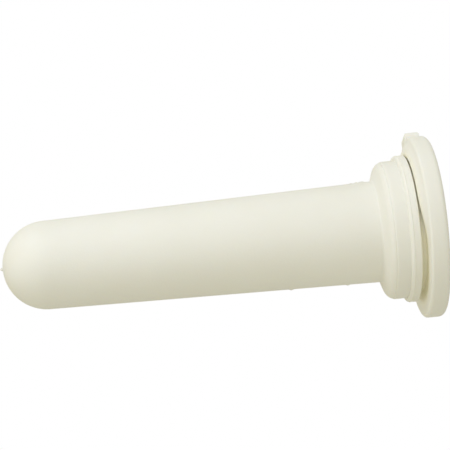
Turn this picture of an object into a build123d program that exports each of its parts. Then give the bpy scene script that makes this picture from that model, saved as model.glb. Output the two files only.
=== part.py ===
from build123d import *

import os
from math import acos, atan2, cos, degrees, hypot, sin, sqrt

# A rubber feeding teat for a calf bucket, with a ball-type non-return valve in its base.
# Millimetres. +Z runs along the teat towards its tip, the origin is the centre of the flange's back
# face, and the moulding tab on the flange's rim points along +X.

# Teat, outside
overall_length = 100.0  # back of the flange to the crown of the dome
dome_radius = 10.15
tube_base_radius = 11.7  # the tube tapers from here to the dome
flange_radius = 21.0
flange_thickness = 4.35
groove_radius = 14.4  # floor of the groove that grips the bucket's wall
groove_width = 1.4
ring_radius = 17.05  # retaining ring, just outside the bucket's wall
ring_width = 2.4
shoulder_radius = 15.95
shoulder_length = 5.5
shoulder_drop = 1.45  # its face slopes back this much between the tube and the rim
shoulder_round = 2.2
ring_round = 0.85
ring_back_round = 0.35
flange_back_round = 1.2
flange_front_round = 0.7
tube_root_round = 0.7

# Teat, small moulded features
tab_height = 1.5
tab_width = 5.6
tab_thickness = 3.5
tab_round = 0.6
nib_radius = 0.5
nib_tip_radius = 0.15
nib_height = 0.6
nib_root = 0.3  # how deep the nib starts inside the dome
slit_length = 6.0
slit_gap = 0.2

# Teat, inside
tube_wall = 2.6
tip_wall = 3.2

# Non-return valve
ball_radius = 5.0
ball_lift = 3.0
ball_gap = 0.05  # between the ball and what stops it, at both ends of its lift
guide_clearance = 0.2  # around the ball, inside the cage's legs
inlet_radius = 3.0
inlet_floor = 3.0
seat_thickness = 2.6
seat_step = 0.35  # the soft seat's hole is this much larger than the inlet
seat_bevel = 1.2  # 45 degree face that the ball closes on
leg_thickness = 1.4
leg_width = 2.2
leg_count = 4
foot_height = 1.2
crown_thickness = 1.4
crown_hub_radius = 2.4
cage_clearance = 0.05
body_wall = 2.7
body_height = 11.0
lip_radius = 11.8
lip_thickness = 1.4
snap_height = 2.0  # both snap beads and their grooves
bead_height = 0.8  # how far the body's bead stands out
clip_height = 0.35  # how far the cage's clips stand out
clip_slack = 0.1  # spare room around the clips in their groove

# Heights along the axis
ring_z = flange_thickness + groove_width
shoulder_z = ring_z + ring_width
tube_z = shoulder_z + shoulder_length
shoulder_rim_z = tube_z - shoulder_drop
dome_z = overall_length - dome_radius


def snap_outline(inner, outer, low, height, rise, leads_up):
    """Half section of a ring with a snap bead: square on the side that holds, 45 degrees on the other."""
    top = low + height
    bead = outer + rise
    if leads_up:
        return [(inner, low), (bead, low), (bead, top - rise), (outer, top), (inner, top)]
    return [(inner, low), (outer, low), (bead, low + rise), (bead, top), (inner, top)]


def taper_onto_dome(start_radius, start_z, radius, centre_z):
    """The angle between a cone's side and the axis, where the cone runs tangent onto a dome."""
    run = centre_z - start_z
    return acos(radius / hypot(start_radius, run)) - atan2(run, start_radius)


def circle_at(part, radius, height):
    """The part's circular edge of this radius, about the axis at this height."""
    return part.edges().filter_by(GeomType.CIRCLE).filter_by(
        lambda edge: abs(edge.radius - radius) < 1e-3 and abs(edge.arc_center.Z - height) < 1e-3
    )


taper = taper_onto_dome(tube_base_radius, tube_z, dome_radius, dome_z)
dome_edge = (dome_radius * cos(taper), dome_z + dome_radius * sin(taper))

# The milk chamber follows the outside, one wall in, and its own dome leaves a thicker tip.
chamber_radius = tube_base_radius - tube_wall
chamber_dome_radius = dome_radius - tube_wall
chamber_dome_z = overall_length - tip_wall - chamber_dome_radius

# Valve pieces, from the ball outwards
guide_radius = ball_radius + guide_clearance
cage_radius = guide_radius + leg_thickness
bore_radius = cage_radius + cage_clearance
body_radius = bore_radius + body_wall
seat_z = inlet_floor + seat_thickness
seat_radius = inlet_radius + seat_step
cone_apex_z = seat_z - seat_radius - seat_bevel
ball_z = cone_apex_z + (ball_radius + ball_gap) * sqrt(2)
crown_z = ball_z + ball_radius + ball_lift + ball_gap
bead_z = (lip_thickness + body_height) / 2 - snap_height / 2
clip_z = body_height - 1.5 * snap_height


# The teat: one rubber moulding
with BuildPart() as teat:
    with BuildSketch(Plane.XZ):
        with BuildLine():
            Polyline(
                (0, overall_length),
                (0, 0),
                (flange_radius, 0),
                (flange_radius, flange_thickness),
                (groove_radius, flange_thickness),
                (groove_radius, ring_z),
                (ring_radius, ring_z),
                (ring_radius, shoulder_z),
                (shoulder_radius, shoulder_z),
                (shoulder_radius, shoulder_rim_z),
                (tube_base_radius, tube_z),
                dome_edge,
            )
            CenterArc((0, dome_z), dome_radius, degrees(taper), 90 - degrees(taper))
        make_face()
    revolve(axis=Axis.Z)

    # Rounded rims
    fillet(circle_at(teat, shoulder_radius, shoulder_rim_z), shoulder_round)
    fillet(circle_at(teat, tube_base_radius, tube_z), tube_root_round)
    fillet(circle_at(teat, ring_radius, shoulder_z), ring_round)
    fillet(circle_at(teat, ring_radius, ring_z), ring_back_round)
    fillet(circle_at(teat, flange_radius, flange_thickness), flange_front_round)
    fillet(circle_at(teat, flange_radius, 0), flange_back_round)

    # Tab left where the rubber was fed into the mould
    with BuildSketch(Plane.XY.offset(flange_thickness - tab_thickness)):
        with Locations((flange_radius + tab_height, 0)):
            Rectangle(3 * tab_height, tab_width, align=(Align.MAX, Align.CENTER))
    extrude(amount=tab_thickness)
    fillet(teat.edges().filter_by(Axis.Z).group_by(Axis.X)[-1], tab_round)

    # Nib left by the mould's vent at the crown of the dome
    with Locations((0, 0, overall_length - nib_root)):
        Cone(
            nib_radius,
            nib_tip_radius,
            nib_height + nib_root,
            align=(Align.CENTER, Align.CENTER, Align.MIN),
        )

    # Milk chamber
    with BuildSketch(Plane.XZ):
        with BuildLine():
            chamber_taper = taper_onto_dome(
                chamber_radius, body_height, chamber_dome_radius, chamber_dome_z
            )
            chamber_arc = CenterArc(
                (0, chamber_dome_z),
                chamber_dome_radius,
                degrees(chamber_taper),
                90 - degrees(chamber_taper),
            )
            Polyline(chamber_arc @ 1, (0, body_height), (chamber_radius, body_height), chamber_arc @ 0)
        make_face()
    revolve(axis=Axis.Z, mode=Mode.SUBTRACT)

    # Pocket for the valve: lip recess, bore and the groove that its bead snaps into
    with BuildSketch(Plane.XY):
        Circle(body_radius)
    extrude(amount=body_height, mode=Mode.SUBTRACT)
    with BuildSketch(Plane.XY):
        Circle(lip_radius)
    extrude(amount=lip_thickness, mode=Mode.SUBTRACT)
    with BuildSketch(Plane.XZ):
        Polygon(*snap_outline(0, body_radius, bead_z, snap_height, bead_height, True), align=None)
    revolve(axis=Axis.Z, mode=Mode.SUBTRACT)

    # Cross slit that opens when the teat is sucked
    with BuildSketch(Plane.XY.offset(chamber_dome_z)):
        Rectangle(slit_length, slit_gap, rotation=45)
        Rectangle(slit_length, slit_gap, rotation=-45)
    extrude(amount=overall_length - chamber_dome_z + nib_height, mode=Mode.SUBTRACT)


# The valve's body: a plastic cup with a lip, a snap bead and the milk inlet through its floor
with BuildPart() as valve_body:
    with BuildSketch(Plane.XY):
        Circle(body_radius)
    extrude(amount=body_height)
    with BuildSketch(Plane.XY):
        Circle(lip_radius)
    extrude(amount=lip_thickness)
    with BuildSketch(Plane.XZ):
        Polygon(*snap_outline(0, body_radius, bead_z, snap_height, bead_height, True), align=None)
    revolve(axis=Axis.Z)
    with BuildSketch(Plane.XY.offset(inlet_floor)):
        Circle(bore_radius)
    extrude(amount=body_height - inlet_floor, mode=Mode.SUBTRACT)
    with BuildSketch(Plane.XZ):
        groove_low = clip_z - clip_slack
        groove_height = snap_height + 2 * clip_slack
        groove_depth = clip_height + clip_slack
        Polygon(*snap_outline(0, bore_radius, groove_low, groove_height, groove_depth, False), align=None)
    revolve(axis=Axis.Z, mode=Mode.SUBTRACT)
    Hole(inlet_radius)


# The soft seat: a flat ring with a 45 degree face for the ball
with BuildPart() as seat_ring:
    with BuildSketch(Plane.XY.offset(inlet_floor)):
        Circle(cage_radius)
        Circle(seat_radius, mode=Mode.SUBTRACT)
    extrude(amount=seat_thickness)
    chamfer(seat_ring.edges().group_by(Axis.Z)[-1].sort_by(SortBy.RADIUS)[0], seat_bevel)


# The ball, resting on its seat
with BuildPart() as valve_ball:
    with Locations((0, 0, ball_z)):
        Sphere(ball_radius)


# The cage: a foot ring that holds the seat down, legs that guide the ball and a cross that stops it
with BuildPart() as ball_cage:
    with BuildSketch(Plane.XY.offset(seat_z)):
        Circle(cage_radius)
    extrude(amount=crown_z + crown_thickness - seat_z)
    with BuildSketch(Plane.XZ):
        Polygon(*snap_outline(0, cage_radius, clip_z, snap_height, clip_height, False), align=None)
    revolve(axis=Axis.Z)
    with BuildSketch(Plane.XY.offset(seat_z)):
        with PolarLocations(0, leg_count):
            Rectangle(cage_radius + clip_height, leg_width, align=(Align.MIN, Align.CENTER))
    extrude(amount=crown_z + crown_thickness - seat_z, mode=Mode.INTERSECT)
    with BuildSketch(Plane.XY.offset(crown_z)):
        Circle(crown_hub_radius)
    extrude(amount=crown_thickness)
    with BuildSketch(Plane.XY.offset(seat_z)):
        Circle(cage_radius)
    extrude(amount=foot_height)
    with BuildSketch(Plane.XY.offset(seat_z)):
        Circle(guide_radius)
    extrude(amount=crown_z - seat_z, mode=Mode.SUBTRACT)


os.makedirs("parts", exist_ok=True)
teat.part.label = "teat"
valve_body.part.label = "valve_body"
seat_ring.part.label = "seat_ring"
valve_ball.part.label = "valve_ball"
ball_cage.part.label = "ball_cage"
export_step(teat.part, "parts/teat.step")
export_step(valve_body.part, "parts/valve_body.step")
export_step(seat_ring.part, "parts/seat_ring.step")
export_step(valve_ball.part, "parts/valve_ball.step")
export_step(ball_cage.part, "parts/ball_cage.step")
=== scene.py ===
import math

import bmesh
import bpy
from mathutils import Matrix, Vector


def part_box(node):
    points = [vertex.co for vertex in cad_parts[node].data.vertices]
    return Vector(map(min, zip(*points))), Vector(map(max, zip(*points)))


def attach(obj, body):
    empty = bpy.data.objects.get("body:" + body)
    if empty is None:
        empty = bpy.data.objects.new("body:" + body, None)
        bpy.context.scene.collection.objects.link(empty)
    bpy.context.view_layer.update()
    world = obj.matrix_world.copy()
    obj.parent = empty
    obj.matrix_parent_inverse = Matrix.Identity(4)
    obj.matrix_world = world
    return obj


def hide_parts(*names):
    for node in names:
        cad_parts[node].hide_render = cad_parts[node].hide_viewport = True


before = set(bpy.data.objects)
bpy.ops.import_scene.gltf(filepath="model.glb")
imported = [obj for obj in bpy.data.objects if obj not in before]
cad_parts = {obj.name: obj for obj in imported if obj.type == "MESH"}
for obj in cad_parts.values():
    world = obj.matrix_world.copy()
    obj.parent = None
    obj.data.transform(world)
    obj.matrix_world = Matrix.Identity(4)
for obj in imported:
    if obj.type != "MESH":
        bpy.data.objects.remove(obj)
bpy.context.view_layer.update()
millimetre = 0.001
touching = 1e-6  # points closer than this many metres are in the same place
print("frame loaded:", ", ".join(sorted(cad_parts)))


def deselectAll():
    if bpy.context.object and bpy.context.object.mode != "OBJECT":
        bpy.ops.object.mode_set(mode="OBJECT")
    bpy.ops.object.select_all(action="DESELECT")


def activate(piece):
    deselectAll()
    piece.select_set(True)
    bpy.context.view_layer.objects.active = piece


# goes into edit mode with only the wanted vertices, edges or faces selected
def editSelect(piece, mode, wanted):
    activate(piece)
    bpy.ops.object.mode_set(mode="EDIT")
    bpy.ops.mesh.select_mode(type=mode)
    bpy.ops.mesh.select_all(action="DESELECT")
    mesh = bmesh.from_edit_mesh(piece.data)
    items = {"VERT": mesh.verts, "EDGE": mesh.edges, "FACE": mesh.faces}[mode]
    count = 0
    for item in items:
        if wanted(item):
            item.select_set(True)
            count += 1
    mesh.select_flush_mode()
    bmesh.update_edit_mesh(piece.data)
    return count


# a turned shape is a circle that is extruded ring by ring
def startTurning(name, radius, height, segments):
    deselectAll()
    bpy.ops.mesh.primitive_circle_add(vertices=segments, radius=radius, location=(0, 0, height))
    piece = bpy.context.object
    piece.name = name
    bpy.ops.object.transform_apply(location=True, rotation=True, scale=True)
    bpy.ops.object.mode_set(mode="EDIT")
    bpy.ops.mesh.select_mode(type="VERT")
    bpy.ops.mesh.select_all(action="SELECT")
    return piece


# extrudes the selected ring to a new radius and height; spot keeps the ring's last ones
def turnTo(spot, radius, height):
    bpy.ops.mesh.extrude_edges_move(TRANSFORM_OT_translate={"value": (0, 0, height - spot[1])})
    share = radius / spot[0]
    bpy.ops.transform.resize(value=(share, share, 1), center_override=(0, 0, height))
    spot[0], spot[1] = radius, height


def closePole():
    bpy.ops.mesh.merge(type="CENTER")
    bpy.ops.mesh.select_all(action="DESELECT")


# points (radius, height) along an arc of the half section, without the first; angles in degrees
def arcPoints(centre, radius, start, end, steps):
    points = []
    for step in range(1, steps + 1):
        angle = math.radians(start + (end - start) * step / steps)
        points.append((centre[0] + radius * math.cos(angle), centre[1] + radius * math.sin(angle)))
    return points


# millimetres and degrees; heights are measured along the teat, from the flange's back
teat = {
    "segments": 256,
    "nibHeight": 0.6, "nibRadius": 0.42, "nibTip": 0.12,
    "nibShoulder": (0.8, 0.35), "nibReach": 0.98,  # shares of its radius and height
    "domeRadius": 10.15, "tubeBase": 11.7, "tubeRings": 110, "domeRings": 30,
    "flangeThickness": 4.35, "grooveRadius": 14.4, "grooveWidth": 1.4,
    "ringRadius": 17.05, "ringWidth": 2.4,
    "shoulderRadius": 15.95, "shoulderLength": 5.5, "shoulderDrop": 1.45,  # its front slopes back
    "shoulderBevel": 1.56, "ringRound": 0.85, "ringBackRound": 0.35, "rootRound": 0.35,
    "flangeBackRound": 1.2, "flangeFrontRound": 0.7, "grooveRound": 0.3,
    "tabHeight": 1.5, "tabWidth": 5.6, "tabThickness": 3.5, "tabRound": 0.6,
    "tabSink": 0.12,  # how far its front lies behind the flange's
    "tubeWall": 2.6, "tipWall": 3.2, "chamberPole": 0.4, "chamberRings": 16,
    "pocketRadius": 9.35, "pocketDepth": 11.0, "lipRadius": 11.8, "lipDepth": 1.4,
    "slitLength": 6.0, "slitGap": 0.12, "slitReach": 8.0, "slitTurns": (45, -45),
    "seamRise": 0.06, "seamStart": 1.0, "seamFade": 9.0,  # the mould's parting line
    "fleckRise": 0.25,  # flecks of flash, each at an angle and a height
    "fleckSpots": ((-24, 16.6), (-20, 17.3), (-26, 18.2), (-23, 15.4), (158, 21.0), (161, 34.5)),
    "creaseDepth": 0.11,  # fine lines on the roundings of shoulder and ring
    "shoulderCrease": 2.3, "ringCrease": 0.85,  # their places below the front of each
    "bulgeHeight": 1.15, "bulgeRings": 10, "bulgeMargin": 1.0, "bulgeRim": 0.5,
    "bulgeTurn": -18,  # the side, as an angle, on which the flange bulges to the ring
    "bulgeNone": -0.3, "bulgeFull": 0.45,  # cosines from that side where it starts and is full
    "smoothAngle": 35,
}
teatLow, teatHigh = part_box("teat")
baseHeight = teatLow.z / millimetre
crownHeight = teatHigh.z / millimetre - teat["nibHeight"]
flangeRadius = teatHigh.y / millimetre
grooveHeight = baseHeight + teat["flangeThickness"]
ringHeight = grooveHeight + teat["grooveWidth"]
shoulderHeight = ringHeight + teat["ringWidth"]
tubeHeight = shoulderHeight + teat["shoulderLength"]
rimHeight = tubeHeight - teat["shoulderDrop"]


# degrees between the tube's side and the axis, where the side runs onto the dome
def domeTaper(startRadius, startHeight, radius, centreHeight):
    run = centreHeight - startHeight
    return math.degrees(math.acos(radius / math.hypot(startRadius, run)) - math.atan2(run, startRadius))


# the half section as (radius, height), from the inner crown, round the base, to the outer crown
def teatSection():
    size = teat
    innerDome = size["domeRadius"] - size["tubeWall"]
    innerCentre = crownHeight - size["tipWall"] - innerDome
    chamberRadius = size["tubeBase"] - size["tubeWall"]
    chamberTaper = domeTaper(chamberRadius, size["pocketDepth"], innerDome, innerCentre)
    pole = size["chamberPole"]
    poleAngle = math.degrees(math.acos(pole / innerDome))
    points = [(pole, innerCentre + math.sqrt(innerDome ** 2 - pole ** 2))]
    points += arcPoints((0, innerCentre), innerDome, poleAngle, chamberTaper, size["chamberRings"])
    points += [(chamberRadius, size["pocketDepth"]), (size["pocketRadius"], size["pocketDepth"])]
    points += [(size["pocketRadius"], size["lipDepth"]), (size["lipRadius"], size["lipDepth"])]
    points += [(size["lipRadius"], baseHeight), (flangeRadius, baseHeight)]
    points += [(flangeRadius, grooveHeight)]
    faceStart = flangeRadius - size["bulgeMargin"]
    faceEnd = size["grooveRadius"] + size["bulgeMargin"]
    for step in range(size["bulgeRings"] + 1):
        share = step / size["bulgeRings"]
        points.append((faceStart + (faceEnd - faceStart) * share, grooveHeight))
    points += [(size["grooveRadius"], grooveHeight)]
    points += [(size["grooveRadius"], ringHeight), (size["ringRadius"], ringHeight)]
    points += [(size["ringRadius"], shoulderHeight), (size["shoulderRadius"], shoulderHeight)]
    points += [(size["shoulderRadius"], rimHeight), (size["tubeBase"], tubeHeight)]
    domeCentre = crownHeight - size["domeRadius"]
    taper = domeTaper(size["tubeBase"], tubeHeight, size["domeRadius"], domeCentre)
    side = arcPoints((0, domeCentre), size["domeRadius"], taper, taper, 1)[0]
    for step in range(1, size["tubeRings"]):
        share = step / size["tubeRings"]
        points.append((
            size["tubeBase"] + (side[0] - size["tubeBase"]) * share,
            tubeHeight + (side[1] - tubeHeight) * share,
        ))
    nibAngle = math.degrees(math.acos(size["nibRadius"] / size["domeRadius"]))
    points.append(side)
    points += arcPoints((0, domeCentre), size["domeRadius"], taper, nibAngle, size["domeRings"])
    shoulder, rise = size["nibShoulder"]
    points += [(size["nibRadius"] * shoulder, crownHeight + size["nibHeight"] * rise)]
    points += [(size["nibTip"], crownHeight + size["nibHeight"] * size["nibReach"])]
    return points


# tests whether an edge lies on the circle of that radius and height
def ringEdge(radius, height):
    near = 0.02

    def wanted(edge):
        return all(
            abs(v.co.z / millimetre - height) < near
            and abs(v.co.xy.length / millimetre - radius) < near
            for v in edge.verts
        )
    return wanted


def roundEdge(piece, radius, height, width, segments):
    found = editSelect(piece, "EDGE", ringEdge(radius, height))
    if not found:
        raise ValueError(f"no edge at radius {radius} and height {height}")
    bpy.ops.mesh.bevel(offset=width * millimetre, segments=segments, profile=0.5, affect="EDGES")
    bpy.ops.object.mode_set(mode="OBJECT")


def makeTeat():
    points = [(r * millimetre, z * millimetre) for r, z in teatSection()]
    piece = startTurning("rubber_teat", points[0][0], points[0][1], teat["segments"])
    bpy.ops.mesh.extrude_edges_move(TRANSFORM_OT_translate={"value": (0, 0, 0)})
    closePole()
    bpy.ops.object.mode_set(mode="OBJECT")
    spot = list(points[0])
    editSelect(
        piece, "VERT", lambda v: abs(v.co.z - spot[1]) < touching and v.co.xy.length > spot[0] / 2
    )
    for radius, height in points[1:]:
        turnTo(spot, radius, height)
    bpy.ops.mesh.extrude_edges_move(TRANSFORM_OT_translate={"value": (0, 0, 0)})
    closePole()
    bpy.ops.object.mode_set(mode="OBJECT")
    for radius, height, width, segments in (
        (teat["shoulderRadius"], rimHeight, teat["shoulderBevel"], 14),
        (teat["tubeBase"], tubeHeight, teat["rootRound"], 6),
        (teat["ringRadius"], shoulderHeight, teat["ringRound"], 8),
        (teat["ringRadius"], ringHeight, teat["ringBackRound"], 5),
        (teat["grooveRadius"], ringHeight, teat["grooveRound"], 4),
        (teat["grooveRadius"], grooveHeight, teat["grooveRound"], 4),
        (flangeRadius, grooveHeight, teat["flangeFrontRound"], 6),
        (flangeRadius, baseHeight, teat["flangeBackRound"], 8),
    ):
        roundEdge(piece, radius, height, width, segments)
    return piece


rubberTeat = makeTeat()
print("teat turned:", len(rubberTeat.data.vertices), "points")


def outward(angle):
    return Vector((math.cos(math.radians(angle)), math.sin(math.radians(angle)), 0))


# the two halves of the mould leave a fine ridge along the tube, and a few flecks of flash
def raiseSeam(piece):
    low = tubeHeight + teat["seamStart"]
    high = crownHeight - teat["domeRadius"]
    chamberRadius = teat["tubeBase"] - teat["tubeWall"]
    skin = (chamberRadius + teat["domeRadius"]) / 2 * millimetre  # wider is the tube's outside
    onTube = [
        v for v in piece.data.vertices
        if low < v.co.z / millimetre < high and v.co.xy.length > skin
    ]
    for vertex in onTube:
        if abs(vertex.co.y) < touching:
            fade = min(1.0, (high - vertex.co.z / millimetre) / teat["seamFade"])
            vertex.co.x += math.copysign(teat["seamRise"] * fade * millimetre, vertex.co.x)
    for angle, height in teat["fleckSpots"]:
        out = outward(angle)
        spot = out * teat["tubeBase"] * millimetre + Vector((0, 0, height * millimetre))
        nearest = min(onTube, key=lambda v: (v.co - spot).length)
        nearest.co += out * teat["fleckRise"] * millimetre


# presses a fine line into the ring of points nearest to that height on the collar
def pressCrease(piece, height):
    collar = (teat["tubeBase"] + teat["shoulderRadius"]) / 2 * millimetre

    def onCollar(vertex):
        return vertex.co.xy.length > collar

    levels = {v.co.z for v in piece.data.vertices if onCollar(v)}
    level = min(levels, key=lambda z: abs(z - height * millimetre))
    editSelect(piece, "VERT", lambda v: onCollar(v) and abs(v.co.z - level) < touching)
    share = 1 - teat["creaseDepth"] / teat["shoulderRadius"]
    bpy.ops.transform.resize(value=(share, share, 1), center_override=(0, 0, 0))
    bpy.ops.object.mode_set(mode="OBJECT")


# rises smoothly from 0 to 1 as the value goes from start to end
def smoothStep(value, start, end):
    share = min(1.0, max(0.0, (value - start) / (end - start)))
    return share * share * (3 - 2 * share)


# soft rubber: on the tab's side the flange's face bulges to the ring and shuts the groove's mouth
def bulgeFlange(piece):
    side = outward(teat["bulgeTurn"])
    faceStart = teat["grooveRadius"] + teat["grooveRound"] / 2
    for vertex in piece.data.vertices:
        radius = vertex.co.xy.length / millimetre
        if abs(vertex.co.z - grooveHeight * millimetre) > touching or radius < faceStart:
            continue
        cosine = vertex.co.dot(side) / vertex.co.xy.length
        shut = smoothStep(cosine, teat["bulgeNone"], teat["bulgeFull"])
        inner = smoothStep(radius, teat["grooveRadius"], teat["ringRadius"])
        outer = smoothStep(radius, flangeRadius - teat["bulgeRim"], teat["ringRadius"])
        vertex.co.z += teat["bulgeHeight"] * shut * min(inner, outer) * millimetre


raiseSeam(rubberTeat)
pressCrease(rubberTeat, tubeHeight - teat["shoulderCrease"])
pressCrease(rubberTeat, shoulderHeight - teat["ringCrease"])
bulgeFlange(rubberTeat)
print("mould seam, creases and lip shaped")


# the feed tab on the flange's rim: a bevelled block, half of which runs into the flange
def makeTab():
    deselectAll()
    reach = teat["tabHeight"] * 2
    bpy.ops.mesh.primitive_cube_add(size=1)
    tab = bpy.context.object
    tab.name = "feed_tab"
    tab.scale = (reach * millimetre, teat["tabWidth"] * millimetre, teat["tabThickness"] * millimetre)
    tab.location = (
        (flangeRadius + teat["tabHeight"] - reach / 2) * millimetre,
        0,
        (grooveHeight - teat["tabSink"] - teat["tabThickness"] / 2) * millimetre,
    )
    bpy.ops.object.transform_apply(location=True, rotation=True, scale=True)
    outer = (flangeRadius + teat["tabHeight"]) * millimetre
    editSelect(tab, "EDGE", lambda e: all(abs(v.co.x - outer) < touching for v in e.verts))
    bpy.ops.mesh.bevel(offset=teat["tabRound"] * millimetre, segments=6, profile=0.5, affect="EDGES")
    bpy.ops.object.mode_set(mode="OBJECT")
    return tab


def joinSolid(piece, other, operation):
    activate(piece)
    modifier = piece.modifiers.new(operation.lower(), "BOOLEAN")
    modifier.object = other
    modifier.operation = operation
    modifier.solver = "EXACT"
    bpy.ops.object.modifier_apply(modifier=modifier.name)
    bpy.data.objects.remove(other)


joinSolid(rubberTeat, makeTab(), "UNION")
print("tab joined")


# two crossed blades that cut the slit through the tip
def makeSlitBlades():
    blades = []
    for turn in teat["slitTurns"]:
        deselectAll()
        bpy.ops.mesh.primitive_cube_add(size=1)
        blade = bpy.context.object
        sizes = (teat["slitLength"], teat["slitGap"], teat["slitReach"])
        blade.scale = [size * millimetre for size in sizes]
        blade.location = (0, 0, crownHeight * millimetre)
        blade.rotation_euler = (0, 0, math.radians(turn))
        bpy.ops.object.transform_apply(location=True, rotation=True, scale=True)
        blades.append(blade)
    return blades


for blade in makeSlitBlades():
    joinSolid(rubberTeat, blade, "DIFFERENCE")
activate(rubberTeat)
bpy.ops.object.shade_smooth_by_angle(angle=math.radians(teat["smoothAngle"]))
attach(rubberTeat, "teat")
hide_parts("teat")
print("slit cut:", len(rubberTeat.data.polygons), "faces")


# values of the noise; below "deepest" the colour is the deep one, above "palest" the pale one
skinNoise = {
    "blotchDetail": 3, "grainDetail": 4, "grainShare": 0.35, "deepest": 0.45, "palest": 0.9,
}


# moulded skin: soft blotches, broken up by a fine grain that also gives the height
def makeSkinGroup():
    group = bpy.data.node_groups.new("mouldedSkin", "ShaderNodeTree")
    face = group.interface
    for name, kind, value in (
        ("Pale", "NodeSocketColor", (1, 1, 1, 1)), ("Deep", "NodeSocketColor", (0.8, 0.8, 0.8, 1)),
        ("Blotch Scale", "NodeSocketFloat", 60), ("Grain Scale", "NodeSocketFloat", 2000),
        ("Smooth", "NodeSocketFloat", 0.4), ("Rough", "NodeSocketFloat", 0.6),
    ):
        face.new_socket(name, in_out="INPUT", socket_type=kind).default_value = value
    face.new_socket("Colour", in_out="OUTPUT", socket_type="NodeSocketColor")
    face.new_socket("Roughness", in_out="OUTPUT", socket_type="NodeSocketFloat")
    face.new_socket("Height", in_out="OUTPUT", socket_type="NodeSocketFloat")
    nodes, links = group.nodes, group.links
    given = nodes.new("NodeGroupInput")
    result = nodes.new("NodeGroupOutput")
    place = nodes.new("ShaderNodeTexCoord")
    blotch = nodes.new("ShaderNodeTexNoise")
    blotch.inputs["Detail"].default_value = skinNoise["blotchDetail"]
    grain = nodes.new("ShaderNodeTexNoise")
    grain.inputs["Detail"].default_value = skinNoise["grainDetail"]
    for noise, scale in ((blotch, "Blotch Scale"), (grain, "Grain Scale")):
        links.new(place.outputs["Object"], noise.inputs["Vector"])
        links.new(given.outputs[scale], noise.inputs["Scale"])
    both = nodes.new("ShaderNodeMath")  # the blotches and a share of the grain
    both.operation = "MULTIPLY_ADD"
    both.inputs[1].default_value = skinNoise["grainShare"]
    links.new(grain.outputs["Fac"], both.inputs[0])
    links.new(blotch.outputs["Fac"], both.inputs[2])
    spread = nodes.new("ShaderNodeMapRange")
    spread.inputs["From Min"].default_value = skinNoise["deepest"]
    spread.inputs["From Max"].default_value = skinNoise["palest"]
    links.new(both.outputs["Value"], spread.inputs["Value"])
    tone = nodes.new("ShaderNodeMix")
    tone.data_type = "RGBA"
    links.new(spread.outputs["Result"], tone.inputs["Factor"])
    links.new(given.outputs["Deep"], tone.inputs["A"])
    links.new(given.outputs["Pale"], tone.inputs["B"])
    links.new(tone.outputs["Result"], result.inputs["Colour"])
    gloss = nodes.new("ShaderNodeMapRange")
    links.new(spread.outputs["Result"], gloss.inputs["Value"])
    links.new(given.outputs["Smooth"], gloss.inputs["To Min"])
    links.new(given.outputs["Rough"], gloss.inputs["To Max"])
    links.new(gloss.outputs["Result"], result.inputs["Roughness"])
    links.new(grain.outputs["Fac"], result.inputs["Height"])
    return group


skinGroup = makeSkinGroup()


def newMaterial(name):
    material = bpy.data.materials.new(name)
    material.use_nodes = True
    nodes = material.node_tree.nodes
    return material, nodes, material.node_tree.links, nodes["Principled BSDF"]


def addBump(nodes, links, shader, height, strength, depth):
    bump = nodes.new("ShaderNodeBump")
    bump.inputs["Strength"].default_value = strength
    bump.inputs["Distance"].default_value = depth * millimetre
    links.new(height, bump.inputs["Height"])
    links.new(bump.outputs["Normal"], shader.inputs["Normal"])


# a rubber or plastic as it comes out of the mould, with the values of its finish
def makeMoulded(name, finish):
    material, nodes, links, shader = newMaterial(name)
    skin = nodes.new("ShaderNodeGroup")
    skin.node_tree = skinGroup
    skin.inputs["Pale"].default_value = (*finish["pale"], 1)
    skin.inputs["Deep"].default_value = (*finish["deep"], 1)
    skin.inputs["Blotch Scale"].default_value = finish["blotchScale"]
    skin.inputs["Grain Scale"].default_value = finish["grainScale"]
    skin.inputs["Smooth"].default_value = finish["smooth"]
    skin.inputs["Rough"].default_value = finish["rough"]
    links.new(skin.outputs["Colour"], shader.inputs["Base Color"])
    links.new(skin.outputs["Roughness"], shader.inputs["Roughness"])
    addBump(nodes, links, shader, skin.outputs["Height"], finish["bump"], finish["depth"])
    shader.inputs["Specular IOR Level"].default_value = finish["shine"]
    shader.inputs["Subsurface Weight"].default_value = finish["glow"]
    shader.inputs["Subsurface Radius"].default_value = glowSpread
    shader.inputs["Subsurface Scale"].default_value = finish["glowDepth"] * millimetre
    return material


glowSpread = (1.0, 0.8, 0.5)  # red light runs furthest inside the rubber and the plastic, blue least

# scales are per metre; depths in millimetres
finishes = {
    "ivoryRubber": {
        "pale": (0.885, 0.876, 0.812), "deep": (0.862, 0.85, 0.78),
        "blotchScale": 70, "grainScale": 2600, "smooth": 0.44, "rough": 0.6,
        "bump": 0.3, "depth": 0.06, "glow": 0.12, "glowDepth": 1.2, "shine": 0.35,
    },
    "milkyPlastic": {
        "pale": (0.84, 0.86, 0.85), "deep": (0.76, 0.78, 0.77),
        "blotchScale": 130, "grainScale": 3500, "smooth": 0.3, "rough": 0.45,
        "bump": 0.12, "depth": 0.03, "glow": 0.4, "glowDepth": 1.5, "shine": 0.5,
    },
    "brickSilicone": {
        "pale": (0.46, 0.1, 0.065), "deep": (0.34, 0.06, 0.04),
        "blotchScale": 220, "grainScale": 4200, "smooth": 0.5, "rough": 0.7,
        "bump": 0.25, "depth": 0.04, "glow": 0.1, "glowDepth": 0.8, "shine": 0.4,
    },
}


# a mask that rises from 0 to 1 as a value goes from one limit to the other
def addRamp(nodes, links, value, start, end):
    ramp = nodes.new("ShaderNodeMapRange")
    ramp.interpolation_type = "SMOOTHSTEP"
    ramp.inputs["From Min"].default_value = start * millimetre
    ramp.inputs["From Max"].default_value = end * millimetre
    links.new(value, ramp.inputs["Value"])
    return ramp.outputs["Result"]


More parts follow.
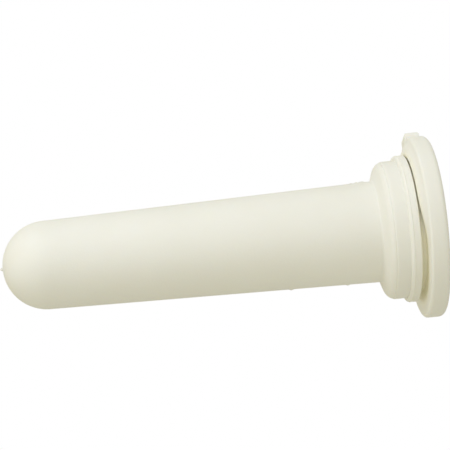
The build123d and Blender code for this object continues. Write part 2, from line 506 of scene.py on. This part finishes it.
def multiply(nodes, links, first, second):
    product = nodes.new("ShaderNodeMath")
    product.operation = "MULTIPLY"
    links.new(first, product.inputs[0])
    links.new(second, product.inputs[1])
    return product.outputs["Value"]


# painted shade: a warm tan that stands for the shade and bounce light in the groove; millimetres from the
# groove's walls, the rim and the floor
paintedGrooveShade = {
    "colour": (0.97, 0.94, 0.79),
    "backStart": 0.15, "frontStart": 0.25, "frontFull": 0.1, "rimStart": 1.5, "floorFull": 1.5,
}


# ivory rubber with the painted warm shade of the groove, which has its full colour at the groove's floor
def makeTeatRubber():
    material = makeMoulded("ivoryRubber", finishes["ivoryRubber"])
    nodes, links = material.node_tree.nodes, material.node_tree.links
    shader = nodes["Principled BSDF"]
    place = nodes.new("ShaderNodeTexCoord")
    flat = nodes.new("ShaderNodeVectorMath")
    flat.operation = "MULTIPLY"
    flat.inputs[1].default_value = (1, 1, 0)
    radius = nodes.new("ShaderNodeVectorMath")
    radius.operation = "LENGTH"
    height = nodes.new("ShaderNodeSeparateXYZ")
    links.new(place.outputs["Object"], flat.inputs[0])
    links.new(flat.outputs["Vector"], radius.inputs[0])
    links.new(place.outputs["Object"], height.inputs["Vector"])
    front, back = ringHeight + paintedGrooveShade["frontStart"], ringHeight - paintedGrooveShade["frontFull"]
    rim, floor = flangeRadius - paintedGrooveShade["rimStart"], teat["grooveRadius"] + paintedGrooveShade["floorFull"]
    above = addRamp(nodes, links, height.outputs["Z"], grooveHeight - paintedGrooveShade["backStart"], grooveHeight)
    below = addRamp(nodes, links, height.outputs["Z"], front, back)
    inside = addRamp(nodes, links, radius.outputs["Value"], rim, floor)
    mask = multiply(nodes, links, multiply(nodes, links, above, below), inside)
    # painted shade: the groove's warm tan is mixed over the rubber's own colour inside this mask
    tint = nodes.new("ShaderNodeMix")
    tint.data_type = "RGBA"
    tint.inputs["B"].default_value = (*paintedGrooveShade["colour"], 1)
    links.new(mask, tint.inputs["Factor"])
    links.new(shader.inputs["Base Color"].links[0].from_socket, tint.inputs["A"])
    links.new(tint.outputs["Result"], shader.inputs["Base Color"])
    return material


rubberTeat.data.materials.clear()
rubberTeat.data.materials.append(makeTeatRubber())


steel = {
    "dark": (0.55, 0.55, 0.55), "pale": (0.68, 0.68, 0.67),
    "lineScale": 900, "lineStretch": (1, 1, 14), "lineTurn": (0.5, 0.3, 0),
    "hazeScale": 260, "smooth": 0.12, "rough": 0.3, "bump": 0.1, "depth": 0.01,
}


# ground steel: fine polishing lines round one axis, with a soft haze over them
def makeSteel():
    material, nodes, links, shader = newMaterial("groundSteel")
    place = nodes.new("ShaderNodeTexCoord")
    stretch = nodes.new("ShaderNodeMapping")
    stretch.inputs["Scale"].default_value = steel["lineStretch"]
    stretch.inputs["Rotation"].default_value = steel["lineTurn"]
    lines = nodes.new("ShaderNodeTexNoise")
    lines.inputs["Scale"].default_value = steel["lineScale"]
    lines.inputs["Detail"].default_value = 5
    haze = nodes.new("ShaderNodeTexNoise")
    haze.inputs["Scale"].default_value = steel["hazeScale"]
    links.new(place.outputs["Object"], stretch.inputs["Vector"])
    links.new(stretch.outputs["Vector"], lines.inputs["Vector"])
    links.new(place.outputs["Object"], haze.inputs["Vector"])
    gloss = nodes.new("ShaderNodeMapRange")
    gloss.inputs["To Min"].default_value = steel["smooth"]
    gloss.inputs["To Max"].default_value = steel["rough"]
    links.new(haze.outputs["Fac"], gloss.inputs["Value"])
    links.new(gloss.outputs["Result"], shader.inputs["Roughness"])
    tint = nodes.new("ShaderNodeValToRGB")
    tint.color_ramp.elements[0].color = (*steel["dark"], 1)
    tint.color_ramp.elements[1].color = (*steel["pale"], 1)
    links.new(lines.outputs["Fac"], tint.inputs["Fac"])
    links.new(tint.outputs["Color"], shader.inputs["Base Color"])
    addBump(nodes, links, shader, lines.outputs["Fac"], steel["bump"], steel["depth"])
    shader.inputs["Metallic"].default_value = 1.0
    return material


milkyPlastic = makeMoulded("milkyPlastic", finishes["milkyPlastic"])
nodeMaterials = {
    "valve_body": milkyPlastic,
    "ball_cage": milkyPlastic,
    "seat_ring": makeMoulded("brickSilicone", finishes["brickSilicone"]),
    "valve_ball": makeSteel(),
}
for node, material in nodeMaterials.items():
    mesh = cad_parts[node].data
    mesh.materials.clear()
    mesh.materials.append(material)
print("materials made")


# camera in degrees and millimetres, lights and floor in metres and watts
studio = {
    "turn": -18.0,  # the camera's azimuth
    "rise": 4.56,  # its height above the horizon
    "roll": 5.74,  # how far the teat's axis climbs from left to right
    "fieldOfView": 10.0, "distance": 591.5,
    "middle": 49.75,  # height on the axis that the two offsets below are measured from
    "right": 0.95, "up": 5.14,
    # each light stands to the camera's right, up and back by the shares in its "From"
    "lightDistance": 0.6,
    "keyFrom": (-0.43, 0.75, 0.5), "keyPower": 1.4, "keyColour": (0.78, 0.83, 1.0), "keySize": 0.45,
    "frontFrom": (0.1, 0.25, 0.9), "frontPower": 0.72, "frontColour": (0.8, 0.84, 1.0), "frontSize": 0.45,
    "tipFrom": (-0.9, 0, 0.35), "tipPower": 0.35, "tipColour": (1.0, 0.98, 0.93), "tipSize": 0.2,
    "worldColour": (0.62, 0.6, 0.485), "floorColour": (0.3, 0.3, 0.27),
    "floorGlow": 0.4, "floorGlowColour": (1.0, 0.98, 0.86),  # what the floor gives the object
    "floorSize": 4.0, "floorShift": 0.3,  # keeps the plane's diagonal from under the flange
    "floorGap": 0.2,  # millimetres between the floor and the flange's back
}


# gives the mix of two shaders, with the second one where the factor is 1
def mixShaders(nodes, links, factor, first, second):
    mix = nodes.new("ShaderNodeMixShader")
    links.new(factor, mix.inputs["Fac"])
    links.new(first, mix.inputs[1])
    links.new(second, mix.inputs[2])
    return mix.outputs["Shader"]


# a pale floor that gives back only soft light, looks white from above and is clear from below
def makeFloor():
    deselectAll()
    place = (studio["floorShift"], 0, (baseHeight - studio["floorGap"]) * millimetre)
    bpy.ops.mesh.primitive_plane_add(size=studio["floorSize"], location=place)
    floor = bpy.context.object
    floor.name = "floor"
    material, nodes, links, shader = newMaterial("paleFloor")
    shader.inputs["Base Color"].default_value = (*studio["floorColour"], 1)
    shader.inputs["Roughness"].default_value = 0.9
    shader.inputs["Specular IOR Level"].default_value = 0.0
    shader.inputs["Emission Color"].default_value = (*studio["floorGlowColour"], 1)
    shader.inputs["Emission Strength"].default_value = studio["floorGlow"]
    path = nodes.new("ShaderNodeLightPath")
    facing = nodes.new("ShaderNodeNewGeometry")
    white = nodes.new("ShaderNodeEmission")
    white.inputs["Color"].default_value = (1, 1, 1, 1)
    clear = nodes.new("ShaderNodeBsdfTransparent")
    seen = mixShaders(
        nodes, links, path.outputs["Is Camera Ray"], shader.outputs["BSDF"], white.outputs["Emission"]
    )
    both = mixShaders(nodes, links, facing.outputs["Backfacing"], seen, clear.outputs["BSDF"])
    links.new(both, nodes["Material Output"].inputs["Surface"])
    floor.data.materials.append(material)


# gives the camera's right, up and back directions, which the lights are placed by
def makeCamera():
    turn, rise, roll = (math.radians(studio[name]) for name in ("turn", "rise", "roll"))
    back = Vector((
        math.sin(turn) * math.cos(rise),
        -math.cos(turn) * math.cos(rise),
        math.sin(rise),
    ))
    axis = Vector((0, 0, 1))
    across = (axis - back * axis.dot(back)).normalized()  # the teat's axis as the camera sees it
    side = back.cross(across)
    left = across * math.cos(roll) - side * math.sin(roll)
    right = -left
    up = back.cross(right)
    aim = axis * studio["middle"] + right * studio["right"] + up * studio["up"]
    place = aim + back * studio["distance"]
    data = bpy.data.cameras.new("camera")
    camera = bpy.data.objects.new("camera", data)
    bpy.context.scene.collection.objects.link(camera)
    matrix = Matrix((right, up, back)).transposed().to_4x4()
    matrix.translation = place * millimetre
    camera.matrix_world = matrix
    data.angle = math.radians(studio["fieldOfView"])
    data.clip_start, data.clip_end = 0.01, 50
    bpy.context.scene.camera = camera
    return right, up, back


# a round light that looks at the middle of the teat
def makeLight(name, right, up, back):
    across, above, behind = studio[name + "From"]
    direction = right * across + up * above + back * behind
    data = bpy.data.lights.new(name, "AREA")
    data.shape = "DISK"
    data.size = studio[name + "Size"]
    data.energy = studio[name + "Power"]
    data.color = studio[name + "Colour"]
    lamp = bpy.data.objects.new(name, data)
    bpy.context.scene.collection.objects.link(lamp)
    middle = Vector((0, 0, studio["middle"] * millimetre))
    lamp.location = middle + direction.normalized() * studio["lightDistance"]
    lamp.rotation_mode = "QUATERNION"
    lamp.rotation_quaternion = direction.to_track_quat("Z", "Y")


# soft light from all round, which looks white from the camera
def makeWorld():
    world = bpy.data.worlds.new("studio")
    world.use_nodes = True
    bpy.context.scene.world = world
    nodes, links = world.node_tree.nodes, world.node_tree.links
    background = nodes["Background"]
    background.inputs["Color"].default_value = (*studio["worldColour"], 1)
    white = nodes.new("ShaderNodeBackground")
    white.inputs["Color"].default_value = (1, 1, 1, 1)
    path = nodes.new("ShaderNodeLightPath")
    seen = mixShaders(
        nodes, links, path.outputs["Is Camera Ray"],
        background.outputs["Background"], white.outputs["Background"],
    )
    links.new(seen, nodes["World Output"].inputs["Surface"])


makeFloor()
cameraAxes = makeCamera()
for name in ("key", "front", "tip"):
    makeLight(name, *cameraAxes)
makeWorld()
bpy.context.scene.view_settings.view_transform = "Standard"
print("studio ready")
